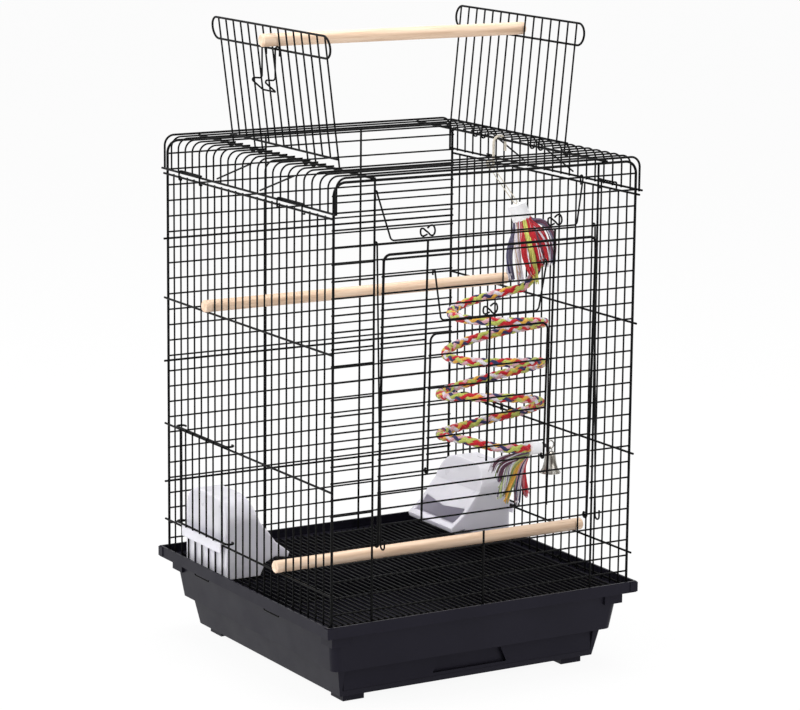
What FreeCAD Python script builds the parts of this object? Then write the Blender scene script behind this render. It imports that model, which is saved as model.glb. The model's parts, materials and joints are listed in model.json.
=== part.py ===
import FreeCAD, Part
import math
import os
import re
import Sketcher
from FreeCAD import Placement, Rotation, Vector

# A square bird cage with an open roof. Millimetres, +Z up, front towards -Y, the floor at Z 0.
# Heights whose names end in _level are counted from the top of the tub's rim.
doc = FreeCAD.newDocument("bird_cage")
sheet = doc.addObject("Spreadsheet::Sheet", "Sizes")

SIZES = {
    # wires
    "mesh_wire": 2, "rail_wire": 2.5, "frame_wire": 3, "clip_wire": 1.8, "eye_play": 0.45, "eye_turn": 230,
    # tub
    "rim_width": 407, "channel_width": "=rim_width - 4.6", "lug_width": 10, "tub_wall": 3,
    "upper_width": "=rim_width - 26", "upper_tall": 45, "upper_draft": 8.2,
    "lower_width": "=upper_width - 33", "lower_tall": 34, "lower_draft": 10.8,
    "inner_width": "=upper_width - 2 * tub_wall", "inner_low_width": "=lower_width - 2 * tub_wall",
    "foot_width": 27, "foot_tall": 9, "foot_inset": "=lower_width / 2 - foot_width - 2",
    "pad_tall": 14, "pad_width": 24, "tub_round": 10, "rim_tall": 13,
    "pad_centre": "=upper_width / 2 + 1.5 - pad_width / 2",
    "lug_centre": "=rim_width / 2 + 1 - lug_width / 2",
    "slot_width": "=lower_width - 18", "slot_foot": "=foot_tall + 6.5", "slot_tall": "=lower_tall - 8.5",
    "slot_deep": 30, "clip_hole": 3.2, "clip_half_depth": "=rim_width / 2 - 4",
    "rim_height": "=foot_tall + lower_tall + upper_tall + rim_tall", "ledge_drop": "=rim_tall - 2.5",
    "ledge_height": "=rim_height - ledge_drop",
    # tray
    "tray_width": "=slot_width - 8", "tray_length": "=lower_width - 24", "tray_tall": "=slot_tall - 3.5",
    "tray_foot": "=slot_foot + 0.3", "tray_wall": 2, "tray_front": "=slot_tall - 1",
    "pan_width": "=tray_width - 2 * tray_wall", "pan_length": "=tray_length - 2 * tray_wall",
    "front_width": "=slot_width - 1.6", "front_skin": 9, "front_lead": 7.5,
    "recess_width": 98, "recess_tall": "=tray_front - 7", "recess_deep": 5,
    # cage
    "cage_width": "=rim_width - 17", "cage_depth": "=rim_width - 17", "side_gaps": 23,
    "post_half": "=cage_width / 2 - 0.5", "half_width": "=cage_width / 2", "half_depth": "=cage_depth / 2",
    "side_pitch": "=cage_depth / side_gaps", "rail_half": "=half_width + (mesh_wire + rail_wire) / 2",
    "rail_end": 4, "low_level": 33.2, "mid_level": 149.3, "high_level": 300.1, "top_level": 447,
    "bottom_level": -7, "frame_level": "=top_level + 38", "frame_bend": 14,
    "first_level": "=frame_level - 14.4", "wire_count": 26, "opening_first": 3, "opening_last": 21,
    "wire_step": "=(first_level - 10.6) / (wire_count - 1)",
    "level_wire_depth": "=half_depth - (frame_wire + mesh_wire) / 2",
    "upright_depth": "=level_wire_depth + (mesh_wire + rail_wire) / 2",
    "opening_half": "=half_width - 51", "back_upright_half": "=half_width / 3",
    "opening_foot": "=first_level - opening_last * wire_step",
    "back_rail_first": 79, "back_rail_step": 145.5,
    "back_rail_depth": "=half_depth + (frame_wire + rail_wire) / 2",
    # roof
    "roof_rail_level": "=top_level + 5.6", "hinge_level": "=frame_level + 3",
    "hinge_half": "=half_width - 46",
    "roof_wires": 24, "roof_pitch": "=(cage_depth + 12.5) / (roof_wires - 1)",
    "roof_half": "=roof_pitch * (roof_wires - 1) / 2", "roof_strip": 5, "roof_bend": 12,
    "brace_run": 78, "brace_low": "=roof_rail_level + 4.4", "brace_high": "=hinge_level - 5",
    # flaps
    "flap_wires": 15, "left_lean": 7.6, "right_lean": 5.4, "flap_foot": 11, "flap_bar": 121.8,
    "flap_top": "=flap_bar + 24.7", "flap_half": "=roof_pitch * (flap_wires - 1) / 2 + 13.2",
    "flap_foot_half": "=roof_pitch * (flap_wires - 1) / 2 + 1.5",
    "flap_latch_half": "=roof_pitch - 2.3", "flap_latch_drop": 34, "latch_fold": 13,
    # perches
    "perch_wood": 14, "perch_half": "=half_width + 10", "perch_edge": 1.2,
    "high_perch_gap": 16.5, "low_perch_gap": 6.5,
    "play_wood": 14.4, "play_gap": 0.6, "play_start": "=-hinge_half - 32.5",
    "play_length": "=2 * hinge_half + 46",
    "play_depth": "=-roof_pitch / 2",
    "play_level": "=hinge_level + flap_bar + (rail_wire + play_wood) / 2 + play_gap",
    # front door, measured before it leans out round its hinge wire
    "door_lean": 1.34, "door_half": "=opening_half - 7", "door_bend": 8, "door_row": "=first_level - 71.3",
    "door_rows": 17, "door_top": "=door_row + 5.7", "door_tip": "=door_top + 13.1",
    "door_foot": "=door_row - (door_rows - 1) * wire_step - 1.9", "door_upright_half": "=door_half - 55",
    "hatch_first": 4, "hatch_last": 13, "hatch_half": "=door_upright_half - 6", "hatch_rows": 7,
    "hatch_top": "=door_row - hatch_first * wire_step - 12.7", "hatch_tip": "=hatch_top + 12.9",
    "hatch_foot": "=door_row - hatch_last * wire_step + 2.9",
    "bail_row": 1, "bail_half": "=hatch_half - 4", "bail_bar_half": "=bail_half - 7",
    "bail_level": "=hatch_tip + 1.6",
    # front latch and stays
    "latch_left": "=3 - opening_half", "latch_right": "=opening_half - 21",
    "latch_drop": "=first_level - door_tip - 0.7", "latch_lean": 9.5, "latch_taper": 10,
    "latch_tail": 8, "scroll_wide": 18.4, "scroll_tall": 11, "scroll_gap": 0.02,
    "stay_half": "=door_half + 3.7", "stay_foot": "=opening_foot + 1.8", "stay_lean": 2.2, "stay_hook": 4,
    # feeders and their shutters
    "feeder_width": "=6 * side_pitch - 1.74", "feeder_depth": 84, "feeder_height": 94, "feeder_foot": -8.2,
    "feeder_wall": 2, "hood_round": 29, "feeder_back": "=half_width - 1.5", "feeder_gap": 17.5,
    "lip_drop": 12, "lip_out": 7.3, "lip_skin": 1.5, "cup_width": "=feeder_width - 2 * feeder_wall",
    "shutter_half": "=rail_half + rail_wire + 0.35", "shutter_low": "=low_level + 4.8",
    "shutter_high": "=mid_level + 3.3", "shutter_side": "=3 * side_pitch + 0.88",
    # floor grille
    "grille_step": "=cage_width / 50", "grille_wires": 49, "grille_half": "=rim_width / 2 - 12.5",
    "cross_half": "=grille_half - 5.5", "cross_step": "=grille_half * 0.576",
    # rope toy, hung from the right hinge bar
    "toy_x": "=hinge_half - 39", "toy_y": -38, "toy_turn": -30.94, "rope_wood": 11,
    "rope_lead": 13, "fray_round": 18.8,
    "wrap_level": "=hinge_level - 93.6", "wrap_round": 22, "wrap_tall": 19, "wrap_tilt": 19.5,
    "coil_level": "=wrap_level - 70.2",
    "coil_round": 54.5, "coil_growth": 2.2, "coil_drift": -3.6, "coil_step": 48, "coil_slant": 0.123,
    "coil_first": 71, "coil_last": 1387, "coil_nod": 0.1, "coil_bow": 0.13, "coil_pull": 6.6,
    "hook_y": 17.5, "hook_wire": 3, "hook_bend": 8,
    "hook_leg": 24, "loop_wire": 1.2, "strand_wood": 5,
    "end_wrap_round": 17, "end_wrap_long": 15, "clip_round": 9, "clip_long": 12.5,
    "bell_round": 25, "bell_tall": 25, "bell_ring_round": 4.8, "bell_eye_round": 2.5,
}
for row, (alias, number) in enumerate(SIZES.items(), 1):
    sheet.set(f"A{row}", alias)
    sheet.set(f"B{row}", str(number))
    sheet.setAlias(f"B{row}", alias)
doc.recompute()


def size(alias):
    return float(sheet.get(alias))


def formula(text):
    """The same formula with each size named as a cell of the sheet."""
    return re.sub(r"[a-z]+(?:_[a-z]+)+", lambda found: "Sizes." + found.group(), text)


RIM = size("rim_height")
TURNS = {"X": Rotation(Vector(0, 1, 0), 90), "Y": Rotation(Vector(1, 0, 0), -90), "Z": Rotation()}
SIDES = {"left": -1, "right": 1}


def rod(axis, diameter, length, x, y, z):
    """A straight wire along an axis, from its lower end; every number is a formula of the sheet."""
    wire = doc.addObject("Part::Cylinder", "rod")
    wire.Placement = Placement(Vector(), TURNS[axis])
    wire.setExpression("Radius", formula(f"({diameter}) / 2"))
    wire.setExpression("Height", formula(length))
    for name, text in zip("xyz", (x, y, z)):
        wire.setExpression(f"Placement.Base.{name}", formula(text))
    return wire


def group(label, members):
    """One node made of several wires."""
    node = doc.addObject("Part::Compound", label)
    node.Links = members
    return node


def biarc(start, heading, end, last):
    """Two arcs from start to end that leave along heading and arrive along last."""
    chord = end - start
    if chord.getAngle(heading) < 1e-5 and chord.getAngle(last) < 1e-5:
        return [Part.makeLine(start, end)]
    both = heading + last
    spread = 2 * (heading.dot(last) - 1)
    along = chord.dot(both)
    if abs(spread) < 1e-9:
        reach = chord.dot(chord) / (2 * along)
    else:
        reach = (along - math.sqrt(along ** 2 - spread * chord.dot(chord))) / spread
    corners = start + heading * reach, end - last * reach
    joint = (corners[0] + corners[1]) / 2
    edges = []
    for a, corner, b in ((start, corners[0], joint), (joint, corners[1], end)):
        weight = math.cos((corner - a).getAngle(b - a))
        middle = (a + corner * (2 * weight) + b) / (2 + 2 * weight)
        if (b - a).getAngle(corner - a) < 1e-4:
            edges.append(Part.makeLine(a, b))
        else:
            edges.append(Part.Arc(a, middle, b).toShape())
    return edges


class WirePath:
    """The centre line of a bent wire: each run or bend starts where the last one ended."""

    def __init__(self, start, heading):
        self.first = Vector(*start), Vector(*heading).normalize()
        self.point, self.heading = self.first
        self.edges = []

    def run(self, length):
        end = self.point + self.heading * length
        self.edges.append(Part.makeLine(self.point, end))
        self.point = end
        return self

    def bend(self, radius, degrees, axis):
        """A bend to the left of the heading, seen against the axis."""
        axis = Vector(*axis).normalize()
        centre = self.point + axis.cross(self.heading) * radius
        arm = self.point - centre
        middle = centre + Rotation(axis, degrees / 2).multVec(arm)
        end = centre + Rotation(axis, degrees).multVec(arm)
        self.edges.append(Part.Arc(self.point, middle, end).toShape())
        self.point = end
        self.heading = Rotation(axis, degrees).multVec(self.heading)
        return self

    def through(self, nodes):
        """On through points, each with the heading there."""
        for point, heading in nodes:
            self.edges += biarc(self.point, self.heading, point, heading)
            self.point, self.heading = point, heading
        return self

    def tube(self, diameter, name="bent_wire"):
        profile = Part.Wire(Part.makeCircle(diameter / 2, *self.first))
        piece = doc.addObject("Part::Feature", name)
        piece.Shape = Part.Wire(self.edges).makePipeShell([profile], True, False)
        return piece


def turned(label, corners, foot, heading=(0, 0, 1)):
    """A solid of revolution from (radius, height) corners."""
    points = [Vector(radius, 0, height) for radius, height in corners]
    face = Part.Face(Part.makePolygon(points + points[:1]))
    piece = doc.addObject("Part::Feature", label)
    piece.Shape = face.revolve(Vector(), Vector(0, 0, 1), 360)
    piece.Placement = Placement(Vector(*foot), Rotation(Vector(0, 0, 1), Vector(*heading)))
    return piece


# Bodies built from sketches


def body_of(label):
    return doc.addObject("PartDesign::Body", label)


def sketch_on(body, plane, lift):
    """An empty sketch on one of the body's planes, lifted along the plane's normal."""
    sketch = body.newObject("Sketcher::SketchObject", "outline")
    support = next(o for o in body.Origin.OriginFeatures if o.Role == plane)
    sketch.AttachmentSupport = [(support, "")]
    sketch.MapMode = "FlatFace"
    sketch.setExpression("AttachmentOffset.Base.z", formula(lift))
    return sketch


def pin_point(sketch, geometry, place, x, y, across, along):
    """Ties one point to the sheet: x and y are shares of the sizes across and along."""
    for kind, share, alias, axis in (("DistanceX", x, across, -2), ("DistanceY", y, along, -1)):
        if share == 0:
            sketch.addConstraint(Sketcher.Constraint("PointOnObject", geometry, place, axis))
            continue
        number = sketch.addConstraint(Sketcher.Constraint(kind, -1, 1, geometry, place, share * size(alias)))
        sketch.setExpression(f"Constraints[{number}]", f"{share} * Sizes.{alias}")


def outline(sketch, corners, across, along):
    """A closed polygon whose corners are shares of two sizes."""
    first = sketch.GeometryCount
    points = [Vector(x * size(across), y * size(along), 0) for x, y in corners]
    count = len(points)
    for i, point in enumerate(points):
        sketch.addGeometry(Part.LineSegment(point, points[(i + 1) % count]))
    for i, (x, y) in enumerate(corners):
        sketch.addConstraint(Sketcher.Constraint("Coincident", first + i, 2, first + (i + 1) % count, 1))
        pin_point(sketch, first + i, 1, x, y, across, along)
    return sketch


SQUARE = [(-0.5, -0.5), (0.5, -0.5), (0.5, 0.5), (-0.5, 0.5)]


def corner_squares(sketch, centre, width):
    """Four squares of a width around points at plus and minus centre."""
    half = size(width) / 2
    for sx in (-1, 1):
        for sy in (-1, 1):
            first = sketch.GeometryCount
            x, y = sx * size(centre), sy * size(centre)
            points = [Vector(x + 2 * half * u, y + 2 * half * v) for u, v in SQUARE]
            for i in range(4):
                sketch.addGeometry(Part.LineSegment(points[i], points[(i + 1) % 4]))
            for i in range(4):
                sketch.addConstraint(Sketcher.Constraint("Coincident", first + i, 2, first + (i + 1) % 4, 1))
            for i, kind in ((0, "Horizontal"), (1, "Vertical"), (2, "Horizontal"), (3, "Vertical")):
                sketch.addConstraint(Sketcher.Constraint(kind, first + i))
            for kind, line in (("DistanceX", first), ("DistanceY", first + 1)):
                number = sketch.addConstraint(Sketcher.Constraint(kind, line, 1, line, 2, 2 * half))
                sketch.setExpression(f"Constraints[{number}]", f"Sizes.{width}")
            for kind, sign in (("DistanceX", sx), ("DistanceY", sy)):
                start = sign * size(centre) - half
                number = sketch.addConstraint(Sketcher.Constraint(kind, -1, 1, first, 1, start))
                sketch.setExpression(f"Constraints[{number}]", f"{sign} * Sizes.{centre} - Sizes.{width} / 2")
    return sketch


def feature(body, kind, sketch, length, **settings):
    step = body.newObject("PartDesign::" + kind, kind.lower())
    step.Profile = sketch
    step.setExpression("Length", formula(length))
    for name, value in settings.items():
        setattr(step, name, value)
    doc.recompute()
    return step


def rounded(body, radius, chosen):
    """Rounds the edges of the body's last step that chosen picks."""
    base = body.Tip
    names = [f"Edge{i}" for i, edge in enumerate(base.Shape.Edges, 1) if chosen(edge)]
    step = body.newObject("PartDesign::Fillet", "round")
    step.Base = (base, names)
    step.setExpression("Radius", formula(radius))
    doc.recompute()
    return step


nodes = {}

# Base tub: a drafted upper tier, a smaller lower tier, a channel rim and feet

tub = body_of("base_tub")


def tub_square(lift, width):
    """A square sketch of the tub at a height."""
    return outline(sketch_on(tub, "XY_Plane", lift), SQUARE, width, width)


def tub_corners(lift, centre, width):
    """Four squares of the tub at a height."""
    return corner_squares(sketch_on(tub, "XY_Plane", lift), centre, width)


UNDER_RIM = "rim_height - rim_tall"
feature(tub, "Pad", tub_square(UNDER_RIM, "upper_width"), "upper_tall", Reversed=True,
        TaperAngle=-size("upper_draft"))


def tier_corner(edge):
    ends = [vertex.Point for vertex in edge.Vertexes]
    return len(ends) == 2 and abs(ends[0].z - ends[1].z) > 20


rounded(tub, "tub_round", tier_corner)
feature(tub, "Pad", tub_square(UNDER_RIM + " - upper_tall", "lower_width"), "lower_tall", Reversed=True,
        TaperAngle=-size("lower_draft"))
feature(tub, "Pad", tub_corners("foot_tall", "foot_inset", "foot_width"), "foot_tall", Reversed=True)
feature(tub, "Pad", tub_corners(UNDER_RIM, "pad_centre", "pad_width"), "pad_tall", Reversed=True)
feature(tub, "Pad", tub_square(UNDER_RIM, "rim_width"), "rim_tall")
feature(tub, "Pad", tub_corners(UNDER_RIM + " + 1", "lug_centre", "lug_width"), "rim_tall - 2")
feature(tub, "Pocket", tub_square("rim_height", "channel_width"), "ledge_drop")
feature(tub, "Pocket", tub_square("ledge_height", "inner_width"), "upper_tall",
        TaperAngle=-size("upper_draft"))
feature(tub, "Pocket", tub_square("ledge_height - upper_tall", "inner_low_width"),
        "ledge_height - upper_tall - slot_foot", TaperAngle=-size("lower_draft"))
slot = sketch_on(tub, "XZ_Plane", "lower_width / 2 + 5")
slot.setExpression("AttachmentOffset.Base.y", formula("slot_foot + slot_tall / 2"))
feature(tub, "Pocket", outline(slot, SQUARE, "slot_width", "slot_tall"), "slot_deep")
holes = sketch_on(tub, "XY_Plane", "ledge_height")
CLIP_GAPS = (17.5, 7.5)
for side in SIDES.values():
    for gap in CLIP_GAPS:
        for leg in (-1, 1):
            x = side * size("clip_half_depth")
            y = -size("half_depth") + (gap + leg) * size("side_pitch")
            hole = holes.addGeometry(Part.Circle(Vector(x, y), Vector(0, 0, 1), size("clip_hole") / 2))
            number = holes.addConstraint(Sketcher.Constraint("Radius", hole, size("clip_hole") / 2))
            holes.setExpression(f"Constraints[{number}]", "Sizes.clip_hole / 2")
            number = holes.addConstraint(Sketcher.Constraint("DistanceX", -1, 1, hole, 3, x))
            holes.setExpression(f"Constraints[{number}]", f"{side} * Sizes.clip_half_depth")
            number = holes.addConstraint(Sketcher.Constraint("DistanceY", -1, 1, hole, 3, y))
            place = f"-Sizes.half_depth + {gap + leg} * Sizes.side_pitch"
            holes.setExpression(f"Constraints[{number}]", place)
feature(tub, "Pocket", holes, "rim_tall - ledge_drop + 0.2")
nodes["base_tub"] = tub

# Tray: an open pan with a front that fills the slot of the tub

tray = body_of("tray")
pan = sketch_on(tray, "XY_Plane", "tray_foot")
feature(tray, "Pad", outline(pan, SQUARE, "tray_width", "tray_length"), "tray_tall")
hollow = sketch_on(tray, "XY_Plane", "tray_foot + tray_tall")
feature(tray, "Pocket", outline(hollow, SQUARE, "pan_width", "pan_length"), "tray_tall - tray_wall")
front = sketch_on(tray, "XZ_Plane", "tray_length / 2 + front_lead")
front.setExpression("AttachmentOffset.Base.y", formula("slot_foot + slot_tall / 2"))
feature(tray, "Pad", outline(front, SQUARE, "front_width", "tray_front"), "front_skin", Reversed=True)
recess = sketch_on(tray, "XZ_Plane", "tray_length / 2 + front_lead")
recess.setExpression("AttachmentOffset.Base.y", formula("slot_foot + slot_tall / 2"))
FINGERS = [(-0.5, -0.5), (0.5, -0.5), (0.42, 0.5), (-0.42, 0.5)]
feature(tray, "Pocket", outline(recess, FINGERS, "recess_width", "recess_tall"), "recess_deep")
nodes["tray"] = tray

# Floor grille on the ledge of the tub

grille = [rod("Y", "mesh_wire", "2 * grille_half", f"({i} - (grille_wires - 1) / 2) * grille_step",
              "-grille_half", "ledge_height + mesh_wire / 2") for i in range(int(size("grille_wires")))]
grille += [rod("X", "mesh_wire", "2 * cross_half", "-cross_half", f"({i} - 1.5) * cross_step",
               "ledge_height - mesh_wire / 2") for i in range(4)]
nodes["floor_grille"] = group("floor_grille", grille)

# Side panels with an opening for a feeder

CUT_WIRES = range(15, 21)
for name, side in SIDES.items():
    wires = []
    for i in range(1, int(size("side_gaps"))):
        place = f"{side} * half_width", f"-half_depth + {i} * side_pitch"
        top = "top_level + rail_wire / 2"
        if i in CUT_WIRES:
            wires.append(rod("Z", "mesh_wire", "ledge_drop + low_level + 1.2", *place, "ledge_height"))
            wires.append(rod("Z", "mesh_wire", f"{top} - mid_level + 1.2", *place,
                             "rim_height + mid_level - 1.2"))
        else:
            wires.append(rod("Z", "mesh_wire", f"ledge_drop + {top}", *place, "ledge_height"))
    for level in ("bottom_level", "low_level", "mid_level", "high_level", "top_level"):
        wires.append(rod("Y", "rail_wire", "cage_depth + 2 * rail_end", f"{side} * rail_half",
                         "-half_depth - rail_end", f"rim_height + {level}"))
    nodes[name + "_panel"] = group(name + "_panel", wires)

# Front and back panels

for name, side in (("front", -1), ("back", 1)):
    bend = size("frame_bend")
    leg = size("ledge_drop") + size("frame_level") - bend
    path = WirePath((-size("post_half"), side * size("half_depth"), size("ledge_height")), (0, 0, 1)).run(leg)
    path.bend(bend, 90, (0, 1, 0)).run(2 * (size("post_half") - bend)).bend(bend, 90, (0, 1, 0)).run(leg)
    nodes[name + "_frame"] = path.tube(size("frame_wire"), name + "_frame")

LEVELS = range(int(size("wire_count")))
OPENING = range(int(size("opening_first")) + 1, int(size("opening_last")))
front_wires = []
for i in LEVELS:
    height = f"rim_height + first_level - {i} * wire_step"
    if i in OPENING:
        for start in ("-half_width", "opening_half - 1"):
            front_wires.append(rod("X", "mesh_wire", "half_width - opening_half + 1", start,
                                   "-level_wire_depth", height))
    else:
        front_wires.append(rod("X", "mesh_wire", "cage_width", "-half_width", "-level_wire_depth", height))
for side in SIDES.values():
    front_wires.append(rod("Z", "rail_wire", "ledge_drop + frame_level - frame_wire / 2",
                           f"{side} * opening_half", "-upright_depth", "ledge_height"))
front_wires.append(rod("Z", "rail_wire", "ledge_drop + opening_foot - 1.2", "0", "-upright_depth",
                       "ledge_height"))
nodes["front_wires"] = group("front_wires", front_wires)

back_wires = [rod("X", "mesh_wire", "cage_width", "-half_width", "level_wire_depth",
                  f"rim_height + first_level - {i} * wire_step") for i in LEVELS]
back_wires += [rod("Z", "rail_wire", "ledge_drop + frame_level - frame_wire / 2",
                   f"{side} * back_upright_half", "upright_depth", "ledge_height") for side in SIDES.values()]
back_wires += [rod("X", "rail_wire", "2 * (post_half + rail_end)", "-post_half - rail_end", "back_rail_depth",
                   f"rim_height + back_rail_first + {i} * back_rail_step") for i in range(3)]
nodes["back_wires"] = group("back_wires", back_wires)

# Roof: hoops over the front and back strips, short wires beside the opening, bars they are welded to

bend = size("roof_bend")
foot = RIM + size("roof_rail_level") - size("rail_wire") / 2
strip = int(size("roof_strip"))
hoops, short_wires = [], []
for i in range(int(size("roof_wires"))):
    y = -size("roof_half") + i * size("roof_pitch")
    outer = i in (0, int(size("roof_wires")) - 1)
    wire = size("rail_wire") if outer else size("mesh_wire")
    leg = RIM + size("hinge_level") + (size("frame_wire") + wire) / 2 - bend - foot
    if i < strip or i >= size("roof_wires") - strip:
        path = WirePath((-size("half_width"), y, foot), (0, 0, 1)).run(leg).bend(bend, 90, (0, 1, 0))
        path.run(2 * (size("half_width") - bend)).bend(bend, 90, (0, 1, 0)).run(leg)
        hoops.append(path.tube(wire))
        continue
    for side in SIDES.values():
        path = WirePath((side * size("half_width"), y, foot), (0, 0, 1)).run(leg)
        path.bend(bend, 90, (0, -side, 0)).run(size("half_width") - bend - size("hinge_half") + 0.8)
        short_wires.append(path.tube(wire))
nodes["roof_hoops"] = group("roof_hoops", hoops)
nodes["roof_side_wires"] = group("roof_side_wires", short_wires)

bars = []
for side in SIDES.values():
    bars.append(rod("Y", "frame_wire", "2 * roof_half + 4", f"{side} * hinge_half", "-roof_half - 2",
                    "rim_height + hinge_level"))
    bars.append(rod("Y", "rail_wire", "2 * roof_half + 5", f"{side} * rail_half", "-roof_half - 2.5",
                    "rim_height + roof_rail_level"))
    for start in (-66, 36):
        x = side * (size("half_width") + size("mesh_wire"))
        y = side * start
        low = Vector(x, y, RIM + size("brace_low"))
        high = Vector(x, y + side * size("brace_run"), RIM + size("brace_high"))
        bars.append(WirePath(low, high - low).run((high - low).Length).tube(size("mesh_wire")))
nodes["roof_bars"] = group("roof_bars", bars)

# Wire clips that tie the roof rails to the side panels

wire, bend = size("mesh_wire"), 1.6
clip_x = size("rail_half")
under = RIM + size("top_level") - (size("rail_wire") + wire) / 2 - 0.1
over = RIM + size("roof_rail_level") + (size("rail_wire") + wire) / 2 + 0.1
clips = []
for side, spans in ((-1, ((103, 154), (-137, -81))), (1, ((-149, -119), (104, 121)))):
    for start, end in spans:
        path = WirePath((side * (clip_x - 0.4), start, under), (side, 0, 0)).run(0.4 + bend)
        path.bend(bend, 90, (0, -side, 0)).run(over - under - 2 * bend).bend(bend, 90, (0, -side, 0))
        path.bend(bend, 90, (0, 0, -side)).run(end - start - 2 * bend).bend(bend, 90, (0, 0, -side))
        path.bend(bend, 90, (0, side, 0)).run(over - under - 2 * bend).bend(bend, 90, (0, side, 0))
        clips.append(path.run(0.4 + bend).tube(wire))
nodes["roof_clips"] = group("roof_clips", clips)

# Wire clips that hook over the bottom rails and pass down through the ledge of the tub

wire, bend = size("clip_wire"), 1.8
hook, slack = 2.3, 3.2
bar_level = RIM - size("rim_tall") - slack - wire / 2
clips = []
for side in SIDES.values():
    for gap in CLIP_GAPS:
        y = -size("half_depth") + (gap - 1) * size("side_pitch")
        rail = RIM + size("bottom_level")
        path = WirePath((side * (size("clip_half_depth") - 2 * hook), y, rail - 1), (0, 0, 1)).run(1)
        path.bend(hook, 180, (0, side, 0)).run(rail - bar_level - bend).bend(bend, 90, (1, 0, 0))
        path.run(2 * size("side_pitch") - 2 * bend).bend(bend, 90, (1, 0, 0))
        path.run(rail - bar_level - bend).bend(hook, 180, (0, -side, 0)).run(1)
        clips.append(path.tube(wire))
nodes["base_clips"] = group("base_clips", clips)

# Perches


def perch(label, diameter, length, x, y, z):
    rough = rod("X", diameter, length, x, y, z)
    doc.recompute()
    wood = doc.addObject("Part::Chamfer", label)
    wood.Base = rough
    edge = size("perch_edge")
    rims = [i for i, e in enumerate(rough.Shape.Edges, 1) if isinstance(e.Curve, Part.Circle)]
    wood.Edges = [(i, edge, edge) for i in rims]
    nodes[label] = wood


for level in ("high", "low"):
    perch({"high": "upper_perch", "low": "lower_perch"}[level], "perch_wood", "2 * perch_half", "-perch_half",
          f"-half_depth + {level}_perch_gap * side_pitch",
          f"rim_height + {level}_level + (rail_wire + perch_wood) / 2")
perch("play_perch", "play_wood", "play_length", "play_start", "play_depth", "rim_height + play_level")

# Front door, with its own small door and the wire bail of the small door

mesh, rail, frame = size("mesh_wire"), size("rail_wire"), size("frame_wire")
play, eye_turn = size("eye_play"), size("eye_turn")
wire_y = -size("level_wire_depth")
hinge_z = RIM + size("first_level") - size("opening_last") * size("wire_step")
lean = Rotation(Vector(1, 0, 0), size("door_lean"))
door_place = Placement(Vector(), lean, Vector(0, wire_y, hinge_z))


# The S of a scroll: places as shares of its width and height, with the heading of the wire there
SCROLL = [((-0.054, 0.13), (-0.97, -0.24)), ((-0.34, 0), (-1, 0)), ((-0.5, 0.36), (0, 1)),
          ((-0.37, 0.75), (1, 0)), ((-0.054, 0.41), (0.82, -0.57)), ((0.27, 0), (1, 0)), ((0.5, 0.5), (0, 1)),
          ((0.3, 1), (-1, 0)), ((0, 0.74), (-0.75, -0.66))]


def scroll(x, y, bar_z):
    """A scroll of wire that stands on a crossbar, to push the bail by."""
    foot = bar_z + mesh + size("scroll_gap")
    wide, tall = size("scroll_wide"), size("scroll_tall")
    spots = []
    for (u, v), (a, b) in SCROLL:
        spots.append((Vector(x + u * wide, y, foot + v * tall), Vector(a, 0, b).normalize()))
    return WirePath(*spots[0]).through(spots[1:]).tube(mesh)


def eyed_frame(label, half, top, diameter, axis_y, axis_z):
    """An inverted U whose feet curl round a level wire; returns the tube and the depth of its plane."""
    half, top, bend = size(half), RIM + size(top), size("door_bend")
    eye = mesh / 2 + play + diameter / 2
    start = Rotation(Vector(1, 0, 0), eye_turn).multVec(Vector(0, -eye, 0))
    heading = Rotation(Vector(1, 0, 0), eye_turn).multVec(Vector(0, 0, 1))
    path = WirePath((-half, axis_y + start.y, axis_z + start.z), heading).bend(eye, eye_turn, (-1, 0, 0))
    path.run(top - axis_z - bend).bend(bend, 90, (0, 1, 0)).run(2 * (half - bend)).bend(bend, 90, (0, 1, 0))
    path.run(top - axis_z - bend).bend(eye, eye_turn, (1, 0, 0))
    return path.tube(diameter, label), axis_y - eye


nodes["front_door"], leaf_y = eyed_frame("front_door", "door_half", "door_top", frame, wire_y, hinge_z)
row_y = leaf_y + (frame + mesh) / 2
upright_y = row_y - (mesh + rail) / 2
door = []
hatch_rows = range(int(size("hatch_first")) + 1, int(size("hatch_last")))
for i in range(int(size("door_rows"))):
    height = f"rim_height + door_row - {i} * wire_step"
    if i in hatch_rows:
        for start in ("-door_half - 0.5", "door_upright_half - 1"):
            door.append(rod("X", "mesh_wire", "door_half - door_upright_half + 1.5", start, str(row_y),
                            height))
    else:
        door.append(rod("X", "mesh_wire", "2 * door_half + 1", "-door_half - 0.5", str(row_y), height))
for side in SIDES.values():
    x = f"{side} * door_upright_half"
    door.append(rod("Z", "rail_wire", "door_top - frame_wire / 2 - door_foot", x, str(upright_y),
                    "rim_height + door_foot"))
    door.append(rod("Z", "rail_wire", "door_tip - door_top - frame_wire / 2", x, str(upright_y),
                    "rim_height + door_top + frame_wire / 2"))
nodes["front_door_wires"] = group("front_door_wires", door)

hatch_z = RIM + size("door_row") - size("hatch_last") * size("wire_step")
nodes["small_door"], small_y = eyed_frame("small_door", "hatch_half", "hatch_top", rail, row_y, hatch_z)
small_row_y = small_y + (rail + mesh) / 2
hatch = []
for i in range(int(size("hatch_rows"))):
    height = f"rim_height + door_row - (hatch_last - 1 - {i}) * wire_step"
    hatch.append(rod("X", "mesh_wire", "2 * hatch_half + 1", "-hatch_half - 0.5", str(small_row_y), height))
hatch.append(rod("Z", "rail_wire", "hatch_top - rail_wire / 2 - hatch_foot", "0", str(small_y),
                 "rim_height + hatch_foot"))
hatch.append(rod("Z", "rail_wire", "hatch_tip - hatch_top - rail_wire / 2", "0", str(small_y),
                 "rim_height + hatch_top + rail_wire / 2"))
nodes["small_door_wires"] = group("small_door_wires", hatch)


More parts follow.
